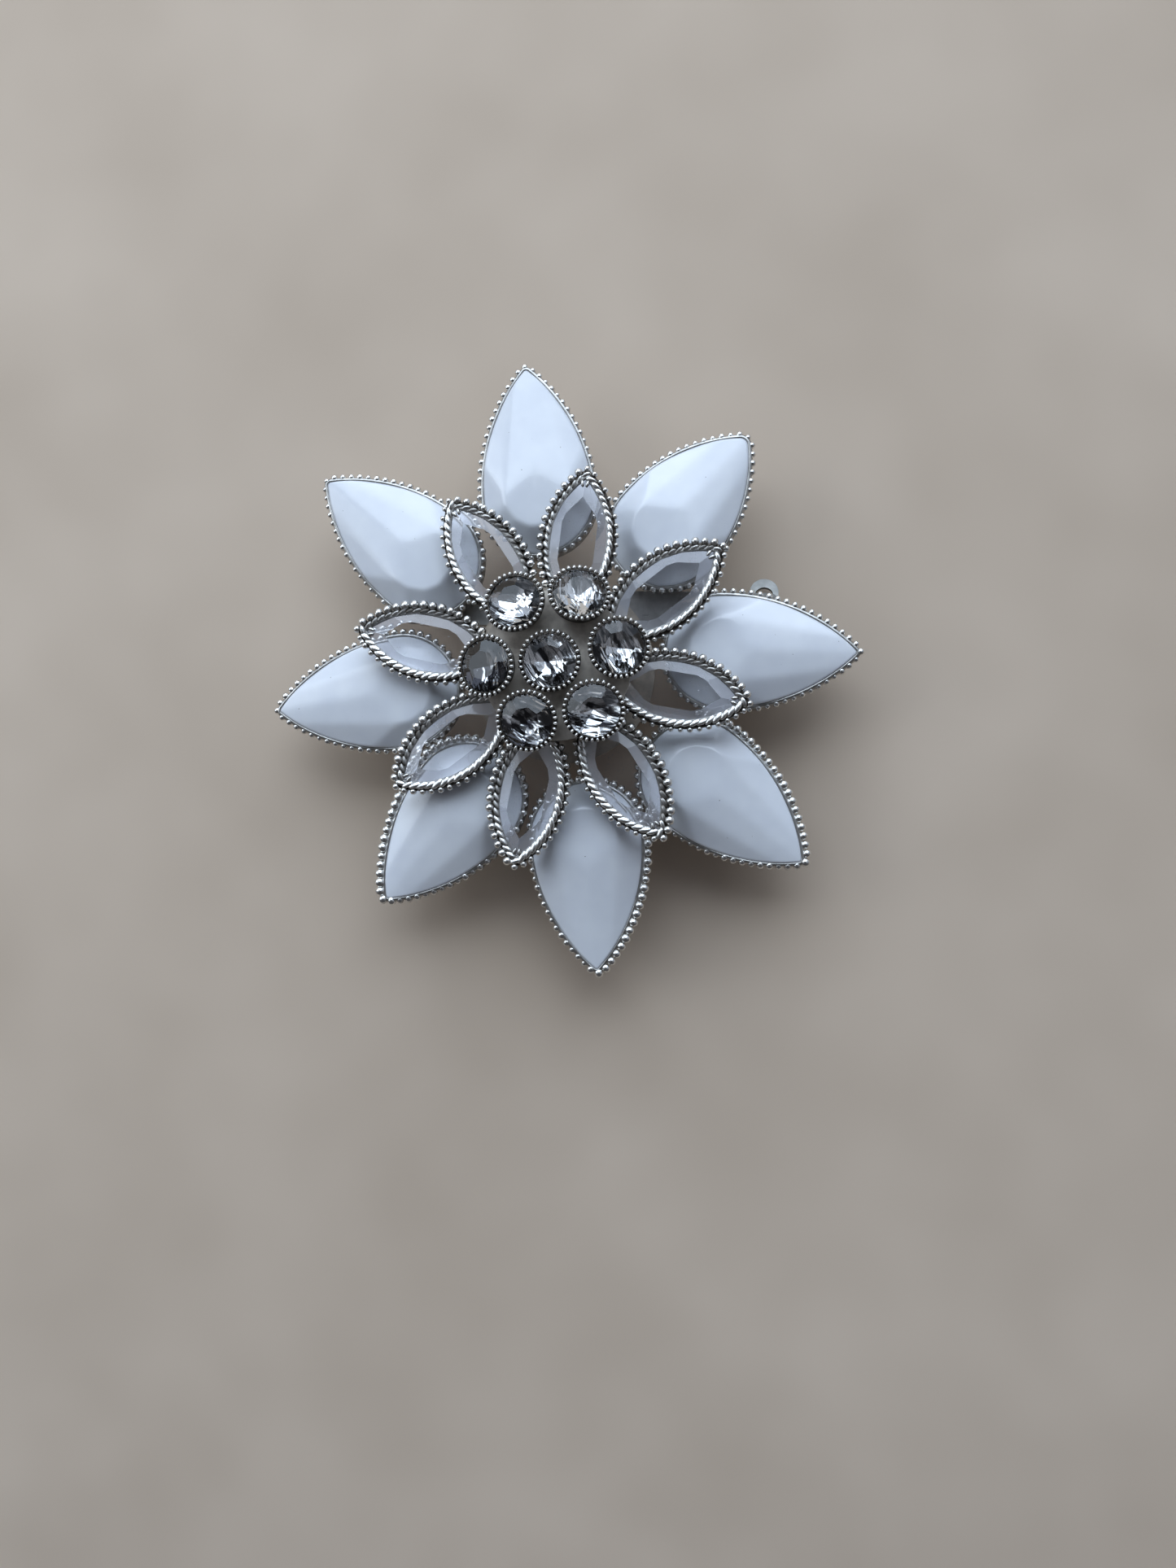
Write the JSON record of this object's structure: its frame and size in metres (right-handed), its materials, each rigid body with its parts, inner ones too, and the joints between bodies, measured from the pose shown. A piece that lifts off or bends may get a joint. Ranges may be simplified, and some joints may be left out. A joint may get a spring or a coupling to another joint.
{
  "type": "brooch",
  "caption": "Flower brooch with pointed white and clear faceted petals in beaded silver settings, round crystals in the middle and a bar pin with a locking catch.",
  "frame": {"origin": "middle of the brooch's outline in plan, at the lowest point of the pin catch's ring on its back", "axes": "+Z out of the flower's front, +X along the bar pin from its hinge to its catch, +Y across it"},
  "size_m": [0.0669, 0.0691, 0.0181],
  "materials": {
    "antique_silver": "cast base metal, antiqued silver plate, dark in the recesses",
    "white_acrylic": "moulded opaque white, glossy, softly faceted",
    "clear_acrylic": "clear, faceted, open back",
    "foiled_crystal": "clear crystal with a silver foil back",
    "stack_metal": "plated sheet, tarnished brownish grey",
    "pin_steel": "nickel-plated pin back"
  },
  "bodies": {
    "flower": {"back_plate": "stack_metal", "catch_body": "pin_steel", "centre_rivet": "stack_metal", "centre_spacer": "stack_metal", "cluster_plate": "stack_metal", "hinge_bracket": "pin_steel", "hinge_rivet": "pin_steel", "inner_bezel_1": "antique_silver", "inner_bezel_2": "antique_silver", "inner_bezel_3": "antique_silver", "inner_bezel_4": "antique_silver", "inner_bezel_5": "antique_silver", "inner_bezel_6": "antique_silver", "inner_bezel_7": "antique_silver", "inner_bezel_8": "antique_silver", "inner_stone_1": "clear_acrylic", "inner_stone_2": "clear_acrylic", "inner_stone_3": "clear_acrylic", "inner_stone_4": "clear_acrylic", "inner_stone_5": "clear_acrylic", "inner_stone_6": "clear_acrylic", "inner_stone_7": "clear_acrylic", "inner_stone_8": "clear_acrylic", "mid_plate": "stack_metal", "outer_bezel_1": "antique_silver", "outer_bezel_2": "antique_silver", "outer_bezel_3": "antique_silver", "outer_bezel_4": "antique_silver", "outer_bezel_5": "antique_silver", "outer_bezel_6": "antique_silver", "outer_bezel_7": "antique_silver", "outer_bezel_8": "antique_silver", "outer_stone_1": "white_acrylic", "outer_stone_2": "white_acrylic", "outer_stone_3": "white_acrylic", "outer_stone_4": "white_acrylic", "outer_stone_5": "white_acrylic", "outer_stone_6": "white_acrylic", "outer_stone_7": "white_acrylic", "outer_stone_8": "white_acrylic", "pin_bar": "pin_steel", "round_cup_1": "antique_silver", "round_cup_2": "antique_silver", "round_cup_3": "antique_silver", "round_cup_4": "antique_silver", "round_cup_5": "antique_silver", "round_cup_6": "antique_silver", "round_cup_7": "antique_silver", "round_stone_1": "foiled_crystal", "round_stone_2": "foiled_crystal", "round_stone_3": "foiled_crystal", "round_stone_4": "foiled_crystal", "round_stone_5": "foiled_crystal", "round_stone_6": "foiled_crystal", "round_stone_7": "foiled_crystal", "upper_spacer": "stack_metal"},
    "pin": {"pin_stem": "pin_steel"},
    "roller": {"catch_roller": "pin_steel"}
  },
  "joints": [
    {"name": "pin_swing", "type": "hinge", "parent": "flower", "child": "pin", "pos_m": [-0.017, 0.0074, 0.00216], "axis": [0, 1, 0], "range_deg": [0, 65]},
    {"name": "catch_turn", "type": "hinge", "parent": "flower", "child": "roller", "pos_m": [0.0228, 0.0074, 0.00216], "axis": [-1, 0, 0], "range_deg": [0, 55]}
  ]
}
